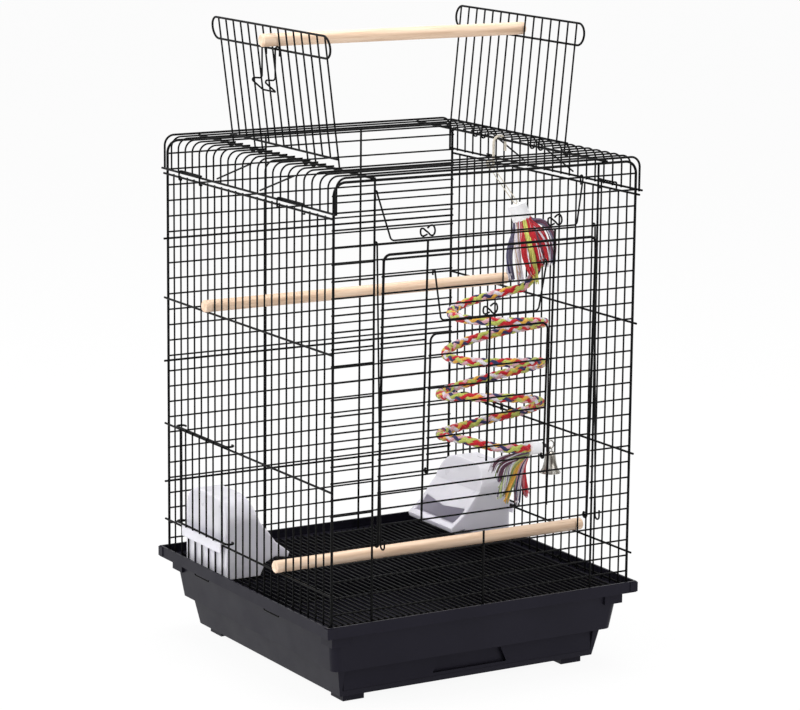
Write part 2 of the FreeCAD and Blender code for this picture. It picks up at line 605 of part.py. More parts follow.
def bail(label, left, right, drop, taper, wire_y, wire_z, tail, scrolls):
    """A wire bail hooked over a level wire: two legs, a crossbar below and scrolls on it."""
    eye = mesh / 2 + play + mesh / 2
    slant = math.degrees(math.atan2(taper, drop - 12))
    elbow, corner = 10, 5
    fall = elbow * math.sin(math.radians(slant)) + corner * (1 - math.sin(math.radians(slant)))
    leg = (drop - fall) / math.cos(math.radians(slant))
    inwards = (0, -1, 0)
    path = WirePath((left, wire_y + eye, wire_z - tail), (0, 0, 1)).run(tail).bend(eye, 180, (1, 0, 0))
    path.bend(elbow, slant, inwards).run(leg).bend(corner, 90 - slant, inwards)
    bar = path.point
    path.run(left + right - 2 * bar.x).bend(corner, 90 - slant, inwards).run(leg).bend(elbow, slant, inwards)
    path.bend(eye, 180, (-1, 0, 0)).run(tail)
    return group(label, [path.tube(mesh)] + [scroll(x, bar.y, bar.z) for x in scrolls])


bail_row_z = RIM + size("door_row") - size("bail_row") * size("wire_step")
nodes["small_latch"] = bail("small_latch", -size("bail_half"), size("bail_half"),
                            bail_row_z - RIM - size("bail_level"), size("bail_half") - size("bail_bar_half"),
                            row_y, bail_row_z, 3.5, [0])
for name in ("front_door", "front_door_wires", "small_door", "small_door_wires", "small_latch"):
    nodes[name].Placement = door_place

# Front latch: a wide bail over the top of the door, leaning out

latch_z = RIM + size("first_level")
tip_x = size("door_upright_half")
nodes["front_latch"] = bail("front_latch", size("latch_left"), size("latch_right"), size("latch_drop"),
                            size("latch_taper"), wire_y, latch_z, size("latch_tail"), [-tip_x, tip_x])
lean = Rotation(Vector(-1, 0, 0), size("latch_lean"))
nodes["front_latch"].Placement = Placement(Vector(), lean, Vector(0, wire_y, latch_z))

# Stays: long hooks that hang from the wire over the door

stay_z = RIM + size("first_level") - size("opening_first") * size("wire_step")
eye, hook, hook_tip = mesh + play, size("stay_hook"), 7
for name, side in SIDES.items():
    top_y = wire_y - eye
    leg = stay_z - RIM - size("stay_foot")
    start = side * size("stay_half"), top_y - 2 * hook, RIM + size("stay_foot") + hook_tip
    path = WirePath(start, (0, 0, -1)).run(hook_tip)
    path.bend(hook, 180, (1, 0, 0)).run(leg).bend(eye, eye_turn, (-1, 0, 0))
    stay = path.tube(mesh, name + "_stay")
    lean = Rotation(Vector(-1, 0, 0), size("stay_lean"))
    stay.Placement = Placement(Vector(), lean, Vector(0, wire_y, stay_z))
    nodes[name + "_stay"] = stay

# Roof flaps, built upright and then leaned out round their hinge bars

hinge_z = RIM + size("hinge_level")
eye = frame / 2 + play + mesh / 2
EYED_WIRES = (0, 3, 4, 10, 11, 14)
for name, side in SIDES.items():
    hinge_x = side * size("hinge_half")
    wire_x = hinge_x - side * eye
    bar_x = wire_x + side * (mesh + rail) / 2
    flap = []
    for i in range(int(size("flap_wires"))):
        y = (i - (size("flap_wires") - 1) / 2) * size("roof_pitch")
        if i in EYED_WIRES:
            path = WirePath((wire_x, y, hinge_z + size("flap_top")), (0, 0, -1)).run(size("flap_top"))
            flap.append(path.bend(eye, eye_turn, (0, -side, 0)).tube(mesh))
        else:
            flap.append(rod("Z", "mesh_wire", "flap_top - flap_foot + 1", str(wire_x), str(y),
                            "rim_height + hinge_level + flap_foot - 1"))
    flap.append(rod("Y", "rail_wire", "2 * flap_foot_half", str(bar_x), "-flap_foot_half",
                    "rim_height + hinge_level + flap_foot"))
    end = (size("flap_top") - size("flap_bar")) / 2
    straight = size("flap_half") - end
    loop = []
    for level, edge in (("flap_bar", 1), ("flap_top", -1)):
        loop.append(rod("Y", "rail_wire", f"2 * {straight}", str(bar_x), str(-straight),
                        f"rim_height + hinge_level + {level}"))
        bow_end = WirePath((bar_x, edge * straight, hinge_z + size(level)), (0, edge, 0))
        loop.append(bow_end.bend(end, 180, (1, 0, 0)).tube(rail))
    nodes[name + "_flap"] = group(name + "_flap", loop)
    nodes[name + "_flap_wires"] = group(name + "_flap_wires", flap)
    lean = Rotation(Vector(0, 1, 0), side * size(name + "_lean"))
    for piece in (name + "_flap", name + "_flap_wires"):
        nodes[piece].Placement = Placement(Vector(), lean, Vector(hinge_x, 0, hinge_z))
    if side < 0:
        latch_axis = nodes[piece].Placement.multVec(Vector(bar_x, 0, hinge_z + size("flap_bar")))

# Latch of the left flap: two legs that hang from the loop, folded outwards and joined by a crossbar

eye = rail / 2 + play + mesh / 2
half, fold = size("flap_latch_half"), size("latch_fold")
knee, tip, rise, slope, tail = 3, 2, 5, 40, 8
down_in = Vector(math.cos(math.radians(slope)), 0, -math.sin(math.radians(slope)))
corner_axis = down_in.cross(Vector(0, 1, 0))
path = WirePath((latch_axis.x + eye, -half, latch_axis.z - tail), (0, 0, 1)).run(tail)
path.bend(eye, 180, (0, -1, 0)).run(size("flap_latch_drop") - knee).bend(knee, 90 + rise, (0, 1, 0))
path.run(fold / 2)
path.bend(tip, 180 + rise - slope, (0, -1, 0)).run(fold).bend(knee, 90, corner_axis).run(2 * (half - knee))
path.bend(knee, 90, corner_axis).run(fold).bend(tip, 180 + rise - slope, (0, 1, 0)).run(fold / 2)
path.bend(knee, 90 + rise, (0, -1, 0)).run(size("flap_latch_drop") - knee).bend(eye, 180, (0, 1, 0)).run(tail)
nodes["flap_latch"] = path.tube(mesh, "flap_latch")

# Feeders: hooded cups whose lips hang over the low rails

CUP = [(0, 0), (0, 1), (0.39, 1), (0.52, 0.68), (0.61, 0.59), (0.77, 0.4), (0.985, 0.25), (0.96, 0.19),
       (0.77, 0.22), (0.61, 0.16), (0.525, 0)]
TROUGH = [(-0.44, 0.29), (0.44, 0.29), (0.44, 0.47), (0, 0.42), (-0.44, 0.47)]
LIP = [(0, 0), (0, 0.125), (-1, 0.125), (-1, -0.875), (-0.76, -0.875), (-0.76, 0)]
feeder_y = -size("half_depth") + size("feeder_gap") * size("side_pitch")


def inset(corners, across, along, wall):
    """The same outline, clockwise, moved inwards by a wall's thickness."""
    wide, tall = size(across), size(along)
    points = [Vector(x * wide, y * tall, 0) for x, y in corners]
    lines = []
    for a, b in zip(points, points[1:] + points[:1]):
        heading = (b - a).normalize()
        lines.append((a + Vector(heading.y, -heading.x, 0) * size(wall), heading))
    inner = []
    for (a, u), (b, v) in zip(lines[-1:] + lines[:-1], lines):
        gap = b - a
        spot = a + u * ((gap.x * v.y - gap.y * v.x) / (u.x * v.y - u.y * v.x))
        inner.append((spot.x / wide, spot.y / tall))
    return inner


def cup_sketch(body, plane, lift, x="0", y="rim_height + feeder_foot"):
    sketch = sketch_on(body, plane, lift)
    sketch.setExpression("AttachmentOffset.Base.y", formula(y))
    sketch.setExpression("AttachmentOffset.Base.x", formula(x))
    return sketch


def hood_corner(side, wall):
    """What lies outside a rounded top corner of the hood, as shares of the cup's width and height."""
    wide, tall, radius = size("feeder_width"), size("feeder_height"), size("hood_round")
    y, z = wide / 2 - radius, tall - radius
    turns = [math.radians(9 * i) for i in range(11)]
    points = [(y + (radius - wall) * math.cos(turn), z + (radius - wall) * math.sin(turn)) for turn in turns]
    points += [(y, tall + 2), (wide / 2 + 2, tall + 2), (wide / 2 + 2, z)]
    return [(side * u / wide, v / tall) for u, v in points]


MIDDLE = "half_depth - feeder_gap * side_pitch"


def through_cut(cup, corners, start, length):
    """A cut along X through an outline, from a share of the cup's depth."""
    face = cup_sketch(cup, "YZ_Plane", f"-feeder_back + {start + length} * feeder_depth", f"-({MIDDLE})")
    outline(face, corners, "feeder_width", "feeder_height")
    feature(cup, "Pocket", face, f"{length} * feeder_depth")


def cup_block(label, profile, width, wall):
    """The side outline padded to a width, with rounded top corners."""
    cup = body_of(label)
    side_view = cup_sketch(cup, "XZ_Plane", f"{MIDDLE} + {width} / 2", "-feeder_back")
    feature(cup, "Pad", outline(side_view, profile, "feeder_depth", "feeder_height"), width, Reversed=True)
    for side in SIDES.values():
        through_cut(cup, hood_corner(side, wall), -0.2, 1.4)
    return cup


def feeder(label, place):
    """A hooded cup with a lip over the low rail and a trough under its hood."""
    cup = cup_block(label + "_block", CUP, "feeder_width", 0)
    lip = cup_sketch(cup, "XZ_Plane", MIDDLE + " + cup_width / 2", "-feeder_back",
                     "rim_height + low_level + lip_skin")
    feature(cup, "Pad", outline(lip, LIP, "lip_out", "lip_drop"), "cup_width", Reversed=True)
    through_cut(cup, TROUGH, 0.62, 0.5)
    hollow = inset(CUP, "feeder_depth", "feeder_height", "feeder_wall")
    core = cup_block(label + "_core", hollow, "cup_width", size("feeder_wall"))
    cup.Placement = core.Placement = place
    shell = doc.addObject("Part::Cut", label)
    shell.Base, shell.Tool = cup, core
    return shell


TURNED = Placement(Vector(), Rotation(Vector(0, 0, 1), 180), Vector(0, feeder_y, 0))
for name, side in SIDES.items():
    nodes[name + "_feeder"] = feeder(name + "_feeder", TURNED if side > 0 else Placement())

# Shutters outside the feeder openings; their bars end in eyes round the panel wires, on which they slide

reach = size("shutter_half") - size("half_width")
for name, side in SIDES.items():
    parts = []
    first = -size("half_depth") + 14 * size("side_pitch")
    last = -size("half_depth") + 21 * size("side_pitch")
    x = side * size("shutter_half")
    for level in ("shutter_low", "shutter_high"):
        spin = Rotation(Vector(0, 0, 1), -side * 200)
        start = Vector(side * size("half_width"), first, RIM + size(level))
        start += spin.multVec(Vector(side * reach, 0, 0))
        path = WirePath(start, spin.multVec(Vector(0, 1, 0))).bend(reach, 200, (0, 0, side)).run(last - first)
        parts.append(path.bend(reach, 200, (0, 0, side)).tube(rail))
    tall = "shutter_high - shutter_low - rail_wire"
    middle = "-half_depth + feeder_gap * side_pitch"
    for edge in SIDES.values():
        parts.append(rod("Z", "rail_wire", tall, f"{side} * shutter_half",
                         f"{middle} + {edge} * shutter_side", "rim_height + shutter_low + rail_wire / 2"))
    for i in range(-2, 3):
        parts.append(rod("Z", "mesh_wire", "shutter_high - shutter_low + rail_wire",
                         f"{side} * (shutter_half + (mesh_wire + rail_wire) / 2)",
                         f"{middle} + {i} * shutter_side / 3", "rim_height + shutter_low - rail_wire / 2"))
    nodes[name + "_feeder_door"] = group(name + "_feeder_door", parts)

# Rope toy: a hook on the right hinge bar, a wire loop, a wound rope with tassels, and a bell

spin = Rotation(Vector(0, 0, 1), size("toy_turn"))
toy = Vector(size("toy_x"), size("toy_y"), RIM)


def at(right, near, level):
    """A point of the toy: to the right and towards the viewer of the coil's axis, at a level."""
    return toy + spin.multVec(Vector(right, -near, 0)) + Vector(0, 0, level)


def way(right, near, rise):
    return spin.multVec(Vector(right, -near, 0)).add(Vector(0, 0, rise)).normalize()


def coil_point(degrees):
    """A point of the coil, which widens, drifts to the left and leans back as it goes down."""
    turns = degrees / 360
    ease = min(1, (size("coil_last") - degrees) / 90)
    loose = ease ** 2 * (3 - 2 * ease)
    radius = size("coil_round") + size("coil_growth") * turns
    right = radius * math.cos(math.radians(degrees))
    near = -radius * math.sin(math.radians(degrees))
    level = size("coil_level") - size("coil_step") * turns + size("coil_slant") * right
    lean = (size("coil_nod") + size("coil_bow") * min(1, max(0, (turns - 1.7) / 0.9))) * loose
    pull = size("coil_pull") * min(1, max(0, (turns - 3) / 0.4)) * loose
    return at(right + 6 + size("coil_drift") * turns + pull, near, level + lean * near)


def coil_node(degrees):
    """A point of the coil and the heading of the rope there."""
    return coil_point(degrees), (coil_point(degrees + 1) - coil_point(degrees - 1)).normalize()


rope, lead = size("rope_wood"), size("rope_lead")
top = size("wrap_level")
wrap_spot = 32.3, -58
tilt = math.radians(size("wrap_tilt"))
wrap_foot, wrap_way = at(*wrap_spot, top), way(math.sin(tilt), 0, -math.cos(tilt))
route = [(at(51, -43, top - 37.4), way(0.12, 0.05, -1))]
degrees = size("coil_first")
while degrees < size("coil_last") - 45:
    route.append(coil_node(degrees))
    degrees += 90
route.append(coil_node(size("coil_last")))
path = WirePath(wrap_foot, wrap_way).run(lead).through(route).run(lead)
rope_end, rope_heading = path.point, path.heading
nodes["rope_coil"] = path.tube(rope, "rope_coil")

samples = []
for edge in path.edges:
    samples += edge.discretize(max(3, int(edge.Length / 4)))
reach = [0.0]
for a, b in zip(samples, samples[1:]):
    reach.append(reach[-1] + a.distanceToPoint(b))
least = min(a.distanceToPoint(b) for a, first in zip(samples, reach) for b, then in zip(samples, reach)
            if then - first > 4 * rope)
curves = [edge.Curve.Radius for edge in path.edges if hasattr(edge.Curve, "Radius")]
print(f"rope: length {reach[-1]:.0f}, least gap to itself {least - rope:.1f}")
print(f"rope: least bend radius {min(curves):.1f}")

wrap, radius = size("wrap_tall"), size("wrap_round") / 2
nodes["top_wrap"] = turned("top_wrap", [(0, 0), (radius, 0), (radius, wrap), (0, wrap)], wrap_foot,
                           wrap_way * -1)
bar_x, bar_z = size("hinge_half"), RIM + size("hinge_level")
hook, hook_r = size("hook_wire"), size("hook_bend")
hook_z = bar_z + frame / 2 + 0.3 + hook / 2 - hook_r
eye, point = 4.2, 10
path = WirePath((bar_x + hook_r, size("hook_y"), hook_z - point), (0, 0, 1)).run(point)
path.bend(hook_r, 180, (0, -1, 0)).run(size("hook_leg")).bend(eye, 290, (0, 1, 0))
nodes["toy_hook"] = path.tube(hook, "toy_hook")

loop = size("loop_wire")
hook_foot = hook_z - size("hook_leg") - eye
high = Vector(bar_x - hook_r - eye, size("hook_y") + 1.2, hook_foot + (hook + loop) / 2 + 0.5)
low = wrap_foot - wrap_way * (wrap + loop / 2 + 0.6)
bend = 3.4
along = (high - low).normalize()
across = along.cross(Vector(1, 0, 0)).normalize()
turn_axis = across.cross(along)
length = (high - low).Length - 2 * bend
path = WirePath(low + along * bend + across * bend, along).run(length).bend(bend, 180, turn_axis)
nodes["toy_wire"] = path.run(length).bend(bend, 180, turn_axis).tube(loop, "toy_wire")


def tassel(label, strands):
    """A group of hanging bundles, each led through hand-placed points."""
    parts = []
    for start, heading, *points in strands:
        path = WirePath(start, heading).run(3)
        for i, spot in enumerate(points):
            before = points[i - 1] if i else path.point
            after = points[i + 1] if i + 1 < len(points) else spot + (spot - before)
            path.through([(spot, (after - before).normalize())])
        parts.append(path.tube(size("strand_wood")))
    nodes[label] = group(label, parts)


across, nearer = way(math.cos(tilt), 0, math.sin(tilt)), way(0, 1, 0)
ring = size("fray_round") / 2
# Each bundle: its place round the wrap in degrees, then points to the right, near and below the wrap's foot
TOP_BUNDLES = [(175, (20, -50, 29), (17, -44, 49), (21, -40, 71)),
               (140, (26, -42, 22), (28, -34, 46), (31, -31, 71)),
               (108, (33, -36, 24), (36, -26, 43), (46, -22, 62)),
               (75, (40, -37, 21), (45, -33, 40), (49, -31, 72)),
               (42, (48, -38, 18), (55, -35, 31), (62, -38, 44)),
               (8, (57, -50, 0), (66, -40, 11), (69, -31, 28), (68, -28, 49))]
strands = []
for angle, *points in TOP_BUNDLES:
    aside = across * math.cos(math.radians(angle)) + nearer * math.sin(math.radians(angle))
    strands.append((wrap_foot + aside * ring, wrap_way, *[at(u, v, top - fall) for u, v, fall in points]))
tassel("top_tassel", strands)

wrap = size("end_wrap_long")
radius = size("end_wrap_round") / 2
nodes["end_wrap"] = turned("end_wrap", [(0, 0), (radius, 0), (radius, wrap), (0, wrap)], rope_end,
                           rope_heading)
knot = rope_end + rope_heading * wrap
CLIP = [(0, 0), (1, 0), (1, 0.48), (0.55, 0.64), (0.45, 1), (0, 1)]
clip_r, clip = size("clip_round") / 2, size("clip_long")
nodes["end_clip"] = turned("end_clip", [(r * clip_r, h * clip) for r, h in CLIP], knot, rope_heading)
sideways = rope_heading.cross(Vector(0, 0, 1)).normalize()
under = sideways.cross(rope_heading).normalize() * -1
back = rope_heading * -1
# Each bundle: its place round the rope in degrees, how far back it leans, its drift right and near, its fall
END_BUNDLES = [(-70, 36, -12, 5, 46), (-35, 27, -5, 11, 66), (0, 18, -2, 4, 68), (33, 12, 2, -5, 62),
               (83, 6, 9, -12, 56)]
strands = []
for angle, far, drift, depth, drop in END_BUNDLES:
    aside = Rotation(rope_heading, angle).multVec(under)
    spot = rope_end + aside * ring
    halfway = spot + back * (far * 0.7) + under * (drop * 0.35) + aside * 3
    tip = spot + back * far + spin.multVec(Vector(drift, -depth, -drop)) + aside * 3
    strands.append((spot, back, halfway, tip))
tassel("end_tassel", strands)

# The bell's eye rides on the lowest point of its ring

ring_round, ring_wire, eye_wire, eye_round = size("bell_ring_round"), 1.4, 1.6, size("bell_eye_round")
level_way = Vector(rope_heading.x, rope_heading.y, 0).normalize()
ring_centre = knot + rope_heading * clip + level_way * (ring_round + ring_wire / 2 + 0.1)
path = WirePath(ring_centre + level_way * ring_round, Vector(0, 0, 1)).bend(ring_round, 180, sideways)
nodes["bell_ring"] = path.bend(ring_round, 180, sideways).tube(ring_wire, "bell_ring")

bell_r, bell_h = size("bell_round") / 2, size("bell_tall")
ring_foot = ring_centre - Vector(0, 0, ring_round)
eye_top = ring_foot + Vector(0, 0, (ring_wire + eye_wire) / 2 + 0.3)
bell_foot = eye_top - Vector(0, 0, 2 * eye_round + bell_h)
outer = [(0, 1), (0.3, 1), (0.42, 0.95), (0.5, 0.82), (0.58, 0.5), (0.74, 0.2), (1, 0)]
inner = [(0.92, 0), (0.66, 0.19), (0.49, 0.5), (0.41, 0.8), (0.34, 0.91), (0, 0.955)]
bell = turned("bell_cup", [(r * bell_r, h * bell_h) for r, h in outer + inner], bell_foot)
start = bell_foot + Vector(0, 0, bell_h) - sideways * eye_round
eye = WirePath(start, (0, 0, 1)).run(eye_round).bend(eye_round, 180, level_way).run(eye_round)
nodes["bell"] = group("bell", [bell, eye.tube(eye_wire)])
ball_level = 6
stem = bell_h * inner[-1][1] - ball_level - 0.4
ball = [(0, -3.5), (2, -3), (3.3, -1.2), (3.3, 1.2), (2, 3), (0.8, 3.6), (0.8, stem), (0, stem)]
nodes["bell_clapper"] = turned("bell_clapper", ball, bell_foot + Vector(0, 0, ball_level))
doc.recompute()

# Every piece is checked before any is written

for piece in doc.Objects:
    if "Invalid" in piece.State or "Error" in piece.State:
        raise RuntimeError(f"{piece.Name} {piece.Label} {piece.State}")
os.makedirs("parts", exist_ok=True)
for label, piece in nodes.items():
    piece.Label = label
    shape = piece.Shape
    if shape.isNull() or not shape.isValid() or not shape.Solids:
        raise RuntimeError(f"{label} has no sound solid")
for label, piece in nodes.items():
    piece.Shape.exportStep(f"parts/{label}.step")
    box = piece.Shape.BoundBox
    print(label, len(piece.Shape.Solids), [round(v, 1) for v in (box.XMin, box.XMax, box.YMin, box.YMax)],
          [round(v, 1) for v in (box.ZMin, box.ZMax)])
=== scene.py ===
import json
import math
import random

import bpy
from mathutils import Matrix, Quaternion, Vector


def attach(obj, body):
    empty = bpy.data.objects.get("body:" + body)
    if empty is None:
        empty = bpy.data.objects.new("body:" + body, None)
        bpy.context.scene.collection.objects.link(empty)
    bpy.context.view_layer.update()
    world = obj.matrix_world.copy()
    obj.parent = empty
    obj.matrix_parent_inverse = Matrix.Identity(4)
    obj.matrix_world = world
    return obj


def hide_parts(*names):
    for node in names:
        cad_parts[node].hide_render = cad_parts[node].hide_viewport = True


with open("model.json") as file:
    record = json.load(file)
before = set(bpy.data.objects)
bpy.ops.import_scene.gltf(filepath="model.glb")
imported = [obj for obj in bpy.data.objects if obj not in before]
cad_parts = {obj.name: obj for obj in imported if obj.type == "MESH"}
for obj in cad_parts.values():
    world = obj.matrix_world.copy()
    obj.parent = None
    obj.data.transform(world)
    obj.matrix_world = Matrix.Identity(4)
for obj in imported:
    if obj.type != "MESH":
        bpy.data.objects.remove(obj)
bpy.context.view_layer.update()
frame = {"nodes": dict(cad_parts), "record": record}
nodes = frame["nodes"]
scene = bpy.context.scene
scene.view_settings.view_transform = "Standard"
rng = random.Random(7)
MM = 0.001

# Camera at the photograph's place

AZIMUTH, ELEVATION, ROLL = math.radians(-30.936), math.radians(11.254), math.radians(0.557)
TARGET, DISTANCE = Vector((0.0059, 0, 0.34804)), 3.63484
LENS, SENSOR, FAR = 141.63, 36, 50


def make_camera():
    back = Vector((math.sin(AZIMUTH) * math.cos(ELEVATION), -math.cos(AZIMUTH) * math.cos(ELEVATION),
                   math.sin(ELEVATION)))
    level = Vector((math.cos(AZIMUTH), math.sin(AZIMUTH), 0))
    upright = back.cross(level)
    right = level * math.cos(ROLL) + upright * math.sin(ROLL)
    up = upright * math.cos(ROLL) - level * math.sin(ROLL)
    data = bpy.data.cameras.new("camera")
    data.lens, data.sensor_width, data.clip_end = LENS, SENSOR, FAR
    camera = bpy.data.objects.new("camera", data)
    scene.collection.objects.link(camera)
    turn = Matrix((right, up, back)).transposed().to_4x4()
    camera.matrix_world = Matrix.Translation(TARGET + back * DISTANCE) @ turn
    scene.camera = camera


make_camera()

# Materials

# Most of a noise texture's values lie in this range
NOISE_LOW, NOISE_HIGH = 0.3, 0.7


class Finish:
    """A procedural material around one principled shader."""

    def __init__(self, name, roughness, **sockets):
        self.material = bpy.data.materials.new(name)
        self.material.use_nodes = True
        self.tree = self.material.node_tree
        self.shader = self.tree.nodes["Principled BSDF"]
        self.shader.inputs["Roughness"].default_value = roughness
        for socket, value in sockets.items():
            self.shader.inputs[socket.replace("_", " ")].default_value = value
        self.place = self.node("ShaderNodeTexCoord").outputs["Object"]

    def node(self, kind, **settings):
        made = self.tree.nodes.new(kind)
        for name, value in settings.items():
            setattr(made, name, value)
        return made

    def link(self, source, target):
        self.tree.links.new(source, target)

    def stretched(self, scale):
        """Object coordinates in metres, scaled along each axis."""
        mapping = self.node("ShaderNodeMapping")
        mapping.inputs["Scale"].default_value = scale
        self.link(self.place, mapping.inputs["Vector"])
        return mapping.outputs["Vector"]

    def noise(self, scale, detail=4, place=None, distortion=0.0):
        made = self.node("ShaderNodeTexNoise")
        made.inputs["Scale"].default_value = scale
        made.inputs["Detail"].default_value = detail
        made.inputs["Distortion"].default_value = distortion
        self.link(place or self.place, made.inputs["Vector"])
        return made.outputs["Fac"]

    def bands(self, direction, scale, distortion=0.0):
        """Waves across the surface, along one direction."""
        made = self.node("ShaderNodeTexWave", wave_type="BANDS", bands_direction=direction)
        made.inputs["Scale"].default_value = scale
        made.inputs["Distortion"].default_value = distortion
        self.link(self.place, made.inputs["Vector"])
        return made.outputs["Fac"]

    def ramp(self, source, *stops):
        """Colours at their positions between 0 and 1."""
        made = self.node("ShaderNodeValToRGB")
        elements = made.color_ramp.elements
        while len(elements) < len(stops):
            elements.new(0.5)
        for element, (position, colour) in zip(elements, stops):
            element.position, element.color = position, (*colour, 1)
        self.link(source, made.inputs["Fac"])
        return made.outputs["Color"]

    def spread(self, source, low, high):
        """A value from low to high."""
        made = self.node("ShaderNodeMapRange")
        made.inputs["From Min"].default_value = NOISE_LOW
        made.inputs["From Max"].default_value = NOISE_HIGH
        made.inputs["To Min"].default_value = low
        made.inputs["To Max"].default_value = high
        self.link(source, made.inputs["Value"])
        return made.outputs["Result"]

    def colour(self, output):
        self.link(output, self.shader.inputs["Base Color"])
        return self

    def rough(self, output):
        self.link(output, self.shader.inputs["Roughness"])
        return self

    def bump(self, height, strength, distance):
        made = self.node("ShaderNodeBump")
        made.inputs["Strength"].default_value = strength
        made.inputs["Distance"].default_value = distance
        self.link(height, made.inputs["Height"])
        self.link(made.outputs["Normal"], self.shader.inputs["Normal"])
        return self


def wire_coat():
    """Black coating of the cage's wires, slightly uneven."""
    made = Finish("black_wire", 0.4, Specular_IOR_Level=0.07)
    made.colour(made.ramp(made.noise(60), (0.3, (0.0018, 0.0018, 0.002)), (0.7, (0.0036, 0.0036, 0.004))))
    made.rough(made.spread(made.noise(25), low=0.32, high=0.48))
    return made.bump(made.noise(1400, detail=3), strength=0.12, distance=0.3 * MM).material


def tub_plastic():
    """Blue-black moulded plastic of the base and tray."""
    made = Finish("tub_plastic", 0.38, Specular_IOR_Level=0.12, Specular_Tint=(0.84, 0.81, 1.0, 1.0))
    made.colour(made.ramp(made.noise(14), (0.35, (0.0082, 0.0076, 0.0122)), (0.65, (0.0102, 0.0095, 0.0149))))
    made.rough(made.spread(made.noise(30), low=0.33, high=0.43))
    return made.bump(made.noise(2200, detail=2), strength=0.1, distance=0.2 * MM).material


def cup_plastic():
    """Thin white plastic that lets some light through, with faint ribs."""
    made = Finish("feeder_plastic", 0.32, Subsurface_Weight=0.8, Subsurface_Scale=0.009,
                  Subsurface_Radius=(1.0, 0.95, 1.05), Specular_IOR_Level=0.45)
    made.colour(made.ramp(made.noise(22), (0.3, (0.74, 0.71, 0.83)), (0.7, (0.78, 0.75, 0.87))))
    made.rough(made.spread(made.noise(40), low=0.26, high=0.4))
    return made.bump(made.bands("Y", 42), strength=0.08, distance=0.6 * MM).material


def wood():
    """Pale turned wood, with its grain along the perches."""
    made = Finish("wood", 0.55, Specular_IOR_Level=0.3)
    grain = made.noise(1, detail=6, place=made.stretched((9, 210, 210)), distortion=0.4)
    streaks = made.noise(1, detail=3, place=made.stretched((3, 70, 70)))
    fine = made.ramp(grain, (0.3, (0.66, 0.46, 0.32)), (0.5, (0.83, 0.62, 0.46)), (0.72, (0.91, 0.72, 0.57)))
    tone = made.ramp(streaks, (0.35, (0.9, 0.87, 0.83)), (0.65, (1, 1, 1)))
    both = made.node("ShaderNodeMix", data_type="RGBA", blend_type="MULTIPLY")
    both.inputs["Factor"].default_value = 0.8
    made.link(fine, both.inputs["A"])
    made.link(tone, both.inputs["B"])
    made.colour(both.outputs["Result"])
    made.rough(made.spread(grain, low=0.62, high=0.48))
    return made.bump(grain, strength=0.2, distance=0.4 * MM).material


def shade(colour, share):
    return tuple(c * share for c in colour)


def yarn(name, colour):
    """Cotton with darker hollows and lighter fibres."""
    made = Finish("yarn_" + name, 0.9, Sheen_Weight=0.25, Sheen_Roughness=0.5, Specular_IOR_Level=0.15)
    fibres = made.noise(900, detail=5, distortion=0.6)
    made.colour(made.ramp(fibres, (0.28, shade(colour, 0.6)), (0.5, colour), (0.75, shade(colour, 1.12))))
    return made.bump(made.noise(2600), strength=0.5, distance=0.5 * MM).material


def tape():
    """White tape wound in slanted turns."""
    made = Finish("white_tape", 0.6, Specular_IOR_Level=0.35)
    made.colour(made.ramp(made.noise(120), (0.3, (0.86, 0.86, 0.88)), (0.7, (0.93, 0.93, 0.95))))
    return made.bump(made.bands("DIAGONAL", 90, distortion=1.5), strength=0.3, distance=0.5 * MM).material


def hook_coat():
    """Pale coating of the toy's hook and wire."""
    made = Finish("hook_steel", 0.4, Specular_IOR_Level=0.5)
    made.colour(made.ramp(made.noise(200), (0.3, (0.52, 0.47, 0.38)), (0.7, (0.66, 0.61, 0.51))))
    return made.bump(made.noise(1500, detail=3), strength=0.2, distance=0.3 * MM).material


def clip_plastic():
    """Black plastic of the rope's end clip."""
    made = Finish("clip_plastic", 0.5, Specular_IOR_Level=0.35)
    made.colour(made.ramp(made.noise(300), (0.3, (0.010, 0.010, 0.011)), (0.7, (0.016, 0.016, 0.017))))
    return made.bump(made.noise(1800, detail=3), strength=0.2, distance=0.3 * MM).material


def nickel_with_painted_reflections():
    """Plated metal of the bell, with upright dark and bright streaks painted into its colour as reflections.
    """
    made = Finish("bell_metal", 0.2, Metallic=1.0)
    # Painted reflection: darker and brighter upright streaks in the colour stand in for what the metal
    # reflects.
    streaks = made.noise(1, detail=3, place=made.stretched((260, 260, 30)))
    made.colour(made.ramp(streaks, (0.3, (0.07, 0.06, 0.05)), (0.5, (0.30, 0.28, 0.25)),
                          (0.7, (0.66, 0.64, 0.61))))
    made.rough(made.spread(made.noise(300), low=0.14, high=0.28))
    return made.bump(made.noise(500, detail=2), strength=0.05, distance=0.2 * MM).material


# The rope's slot has no finish here, because yarn replaces its solids
FINISHES = {"black_wire": wire_coat(), "tub_plastic": tub_plastic(), "feeder_plastic": cup_plastic(),
            "wood": wood(), "white_tape": tape(), "hook_steel": hook_coat(), "clip_plastic": clip_plastic(),
            "bell_metal": nickel_with_painted_reflections()}
for subpart in frame["record"]["subparts"]:
    finish = FINISHES.get(subpart["material_slot"])
    if finish:
        mesh = nodes[subpart["node"]].data
        mesh.materials.clear()
        mesh.materials.append(finish)

SOFT_EDGES = {"base_tub": 1.2 * MM, "tray": 0.8 * MM, "left_feeder": 0.9 * MM, "right_feeder": 0.9 * MM}
EDGE_ANGLE = math.radians(35)
for name, width in SOFT_EDGES.items():
    bevel = nodes[name].modifiers.new("soft_edges", "BEVEL")
    bevel.width, bevel.segments = width, 2
    bevel.limit_method, bevel.angle_limit = "ANGLE", EDGE_ANGLE
    bevel.harden_normals = True

